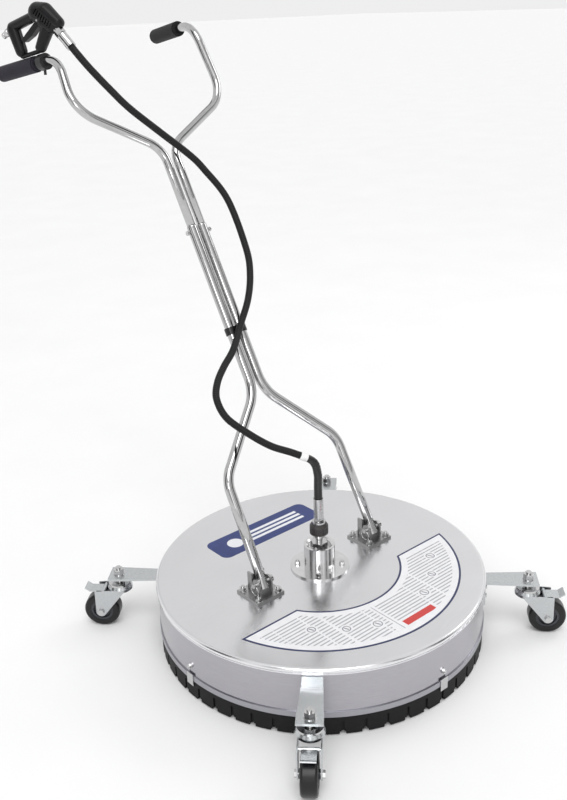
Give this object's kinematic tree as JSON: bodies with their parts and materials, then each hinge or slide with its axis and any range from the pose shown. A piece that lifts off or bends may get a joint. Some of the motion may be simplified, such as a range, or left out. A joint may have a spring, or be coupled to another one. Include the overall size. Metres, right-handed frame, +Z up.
{
  "type": "surface cleaner",
  "caption": "Walk-behind pressure-washer surface cleaner: round steel spray deck on swivel casters, folding tube handle, trigger gun, hose and rotary spray arms.",
  "frame": {"origin": "on the floor, midway between the front wheels and the rear end of the left grip, on the deck centre line", "axes": "+Z up, -Y towards the front of the deck, +Y towards the operator, +X to the side without the gun"},
  "size_m": [0.7686, 1.1794, 1.3068],
  "materials": {
    "deck_housing": "brushed",
    "hem_band": "brushed",
    "skirt": "matt",
    "skirt_clips": "brushed",
    "skirt_screws": "polished",
    "badge_label": "gloss film",
    "warning_label": "gloss film",
    "swivel_housing": "machined",
    "swivel_bolts": "brushed",
    "bearings": "brushed",
    "inlet_nipple": "brushed",
    "spindle": "brushed",
    "rotor_hub": "machined",
    "spray_arms": "brushed",
    "nozzles": "machined",
    "hose_fitting": "brushed",
    "coupler_sleeve": "satin",
    "hose": "wrapped",
    "hose_band": "tape",
    "gun_outlet": "brushed",
    "handle_brackets": "brushed",
    "bracket_bolts": "polished",
    "pivot_pins": "polished",
    "pin_rings": "brushed",
    "leg_left": "polished",
    "leg_right": "polished",
    "upper_left": "polished",
    "upper_right": "polished",
    "tube_clamp": "matt",
    "joint_pins": "polished",
    "grip_left": "foam",
    "grip_right": "foam",
    "gun_body": "moulded",
    "trigger": "moulded",
    "trigger_pin": "brushed",
    "gun_inlet": "brushed",
    "gun_clamp": "moulded",
    "caster_arms": "brushed",
    "arm_bolts": "polished",
    "caster_studs": "polished",
    "fork_fl": "zinc plated",
    "fork_fr": "zinc plated",
    "fork_rr": "zinc plated",
    "fork_rl": "zinc plated",
    "pedal_fl": "zinc plated",
    "pedal_fr": "zinc plated",
    "pedal_rr": "zinc plated",
    "pedal_rl": "zinc plated",
    "tyre_fl": "matt",
    "tyre_fr": "matt",
    "tyre_rr": "matt",
    "tyre_rl": "matt",
    "hub_fl": "moulded",
    "hub_fr": "moulded",
    "hub_rr": "moulded",
    "hub_rl": "moulded",
    "axle_fl": "polished",
    "axle_fr": "polished",
    "axle_rr": "polished",
    "axle_rl": "polished"
  },
  "bodies": {
    "deck": {"deck_housing": "deck_housing", "hem_band": "hem_band", "skirt": "skirt", "skirt_clips": "skirt_clips", "skirt_screws": "skirt_screws", "badge_label": "badge_label", "warning_label": "warning_label", "swivel_housing": "swivel_housing", "swivel_bolts": "swivel_bolts", "bearings": "bearings", "inlet_nipple": "inlet_nipple", "hose_fitting": "hose_fitting", "hose": "hose", "hose_band": "hose_band", "handle_brackets": "handle_brackets", "bracket_bolts": "bracket_bolts", "pivot_pins": "pivot_pins", "pin_rings": "pin_rings", "caster_arms": "caster_arms", "arm_bolts": "arm_bolts", "caster_studs": "caster_studs"},
    "handle": {"leg_left": "leg_left", "leg_right": "leg_right", "upper_left": "upper_left", "upper_right": "upper_right", "tube_clamp": "tube_clamp", "joint_pins": "joint_pins", "grip_left": "grip_left", "grip_right": "grip_right", "gun_body": "gun_body", "trigger_pin": "trigger_pin", "gun_inlet": "gun_inlet", "gun_clamp": "gun_clamp", "gun_outlet": "gun_outlet"},
    "trigger_lever": {"trigger": "trigger"},
    "coupler_ring": {"coupler_sleeve": "coupler_sleeve"},
    "rotor": {"spindle": "spindle", "rotor_hub": "rotor_hub", "spray_arms": "spray_arms", "nozzles": "nozzles"},
    "caster_fl": {"fork_fl": "fork_fl", "axle_fl": "axle_fl"},
    "wheel_fl": {"tyre_fl": "tyre_fl", "hub_fl": "hub_fl"},
    "brake_fl": {"pedal_fl": "pedal_fl"},
    "caster_fr": {"fork_fr": "fork_fr", "axle_fr": "axle_fr"},
    "wheel_fr": {"tyre_fr": "tyre_fr", "hub_fr": "hub_fr"},
    "brake_fr": {"pedal_fr": "pedal_fr"},
    "caster_rr": {"fork_rr": "fork_rr", "axle_rr": "axle_rr"},
    "wheel_rr": {"tyre_rr": "tyre_rr", "hub_rr": "hub_rr"},
    "brake_rr": {"pedal_rr": "pedal_rr"},
    "caster_rl": {"fork_rl": "fork_rl", "axle_rl": "axle_rl"},
    "wheel_rl": {"tyre_rl": "tyre_rl", "hub_rl": "hub_rl"},
    "brake_rl": {"pedal_rl": "pedal_rl"}
  },
  "joints": [
    {"name": "handle_tilt", "type": "hinge", "parent": "deck", "child": "handle", "pos_m": [0, -0.20541, 0.184], "axis": [1, 0, 0], "range_deg": [0, 58], "deforming": ["hose"]},
    {"name": "trigger_pull", "type": "hinge", "parent": "handle", "child": "trigger_lever", "pos_m": [-0.18141, 0.41797, 1.271], "axis": [0.9613, 0.2756, 0], "range_deg": [0, 14], "stiffness_Nm_per_rad": 0.3, "springref_deg": -17.19},
    {"name": "coupler_slide", "type": "slide", "parent": "deck", "child": "coupler_ring", "axis": [0, 0, 1], "range_m": [0, 0.005], "stiffness_N_per_m": 600, "springref_m": -0.003},
    {"name": "rotor_spin", "type": "hinge", "parent": "deck", "child": "rotor", "pos_m": [0, -0.20541, 0.103], "axis": [0, 0, 1], "continuous": true},
    {"name": "swivel_fl", "type": "hinge", "parent": "deck", "child": "caster_fl", "pos_m": [-0.31608, -0.52149, 0.1], "axis": [0, 0, 1], "continuous": true},
    {"name": "roll_fl", "type": "hinge", "parent": "caster_fl", "child": "wheel_fl", "pos_m": [-0.34719, -0.5526, 0.04], "axis": [0.7071, -0.7071, 0], "continuous": true},
    {"name": "press_fl", "type": "hinge", "parent": "caster_fl", "child": "brake_fl", "pos_m": [-0.34224, -0.54765, 0.088], "axis": [0.7071, -0.7071, 0], "range_deg": [0, 10]},
    {"name": "swivel_fr", "type": "hinge", "parent": "deck", "child": "caster_fr", "pos_m": [0.31608, -0.52149, 0.1], "axis": [0, 0, 1], "continuous": true},
    {"name": "roll_fr", "type": "hinge", "parent": "caster_fr", "child": "wheel_fr", "pos_m": [0.34719, -0.5526, 0.04], "axis": [0.7071, 0.7071, 0], "continuous": true},
    {"name": "press_fr", "type": "hinge", "parent": "caster_fr", "child": "brake_fr", "pos_m": [0.34224, -0.54765, 0.088], "axis": [0.7071, 0.7071, 0], "range_deg": [0, 10]},
    {"name": "swivel_rr", "type": "hinge", "parent": "deck", "child": "caster_rr", "pos_m": [0.31608, 0.11066, 0.1], "axis": [0, 0, 1], "continuous": true},
    {"name": "roll_rr", "type": "hinge", "parent": "caster_rr", "child": "wheel_rr", "pos_m": [0.34719, 0.14178, 0.04], "axis": [-0.7071, 0.7071, 0], "continuous": true},
    {"name": "press_rr", "type": "hinge", "parent": "caster_rr", "child": "brake_rr", "pos_m": [0.34224, 0.13683, 0.088], "axis": [-0.7071, 0.7071, 0], "range_deg": [0, 10]},
    {"name": "swivel_rl", "type": "hinge", "parent": "deck", "child": "caster_rl", "pos_m": [-0.31608, 0.11066, 0.1], "axis": [0, 0, 1], "continuous": true},
    {"name": "roll_rl", "type": "hinge", "parent": "caster_rl", "child": "wheel_rl", "pos_m": [-0.34719, 0.14178, 0.04], "axis": [-0.7071, -0.7071, 0], "continuous": true},
    {"name": "press_rl", "type": "hinge", "parent": "caster_rl", "child": "brake_rl", "pos_m": [-0.34224, 0.13683, 0.088], "axis": [-0.7071, -0.7071, 0], "range_deg": [0, 10]}
  ]
}
